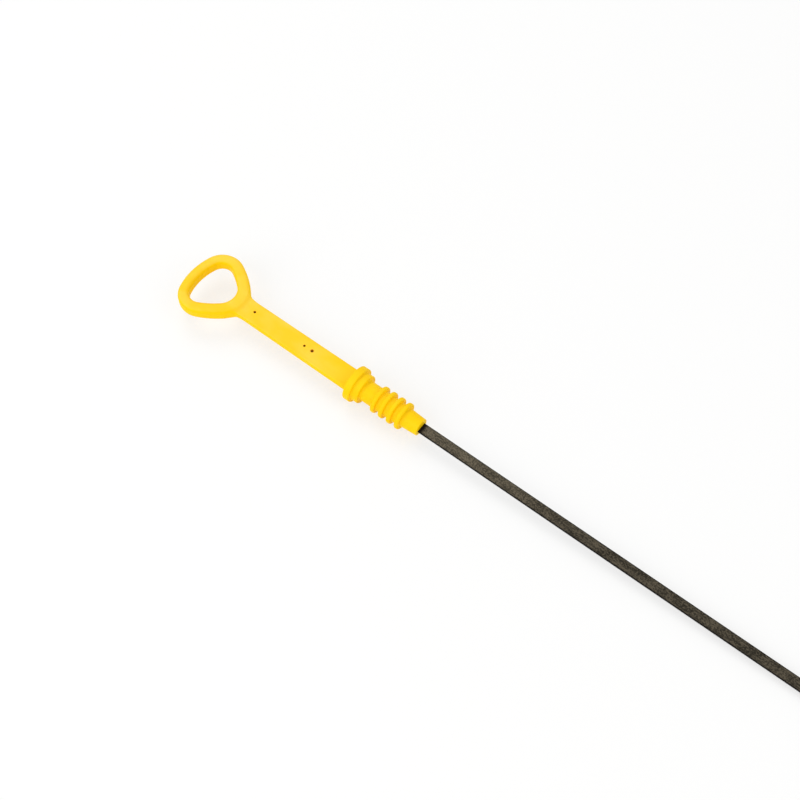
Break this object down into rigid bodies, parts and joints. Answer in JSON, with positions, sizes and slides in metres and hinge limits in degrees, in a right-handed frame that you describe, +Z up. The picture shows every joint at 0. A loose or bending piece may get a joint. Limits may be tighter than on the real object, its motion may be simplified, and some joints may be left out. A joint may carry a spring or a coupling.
{
  "type": "engine oil dipstick",
  "caption": "Pull-out oil level gauge with a yellow finger-loop handle, a stop collar, a ribbed sealing plug and a flat dark steel blade.",
  "frame": {"origin": "middle of the lying stick, on the floor that it rests on", "axes": "+X along the stick from the finger loop to the tip, +Y across the finger loop, +Z up from the floor"},
  "size_m": [0.4008, 0.0352, 0.0169],
  "materials": {
    "yellow_moulding": "satin-glossy injection moulded yellow plastic",
    "dark_steel": "dark mottled oxide and phosphate finish on rolled spring steel"
  },
  "bodies": {
    "root": {"handle": "yellow_moulding", "blade": "dark_steel"}
  },
  "joints": []
}
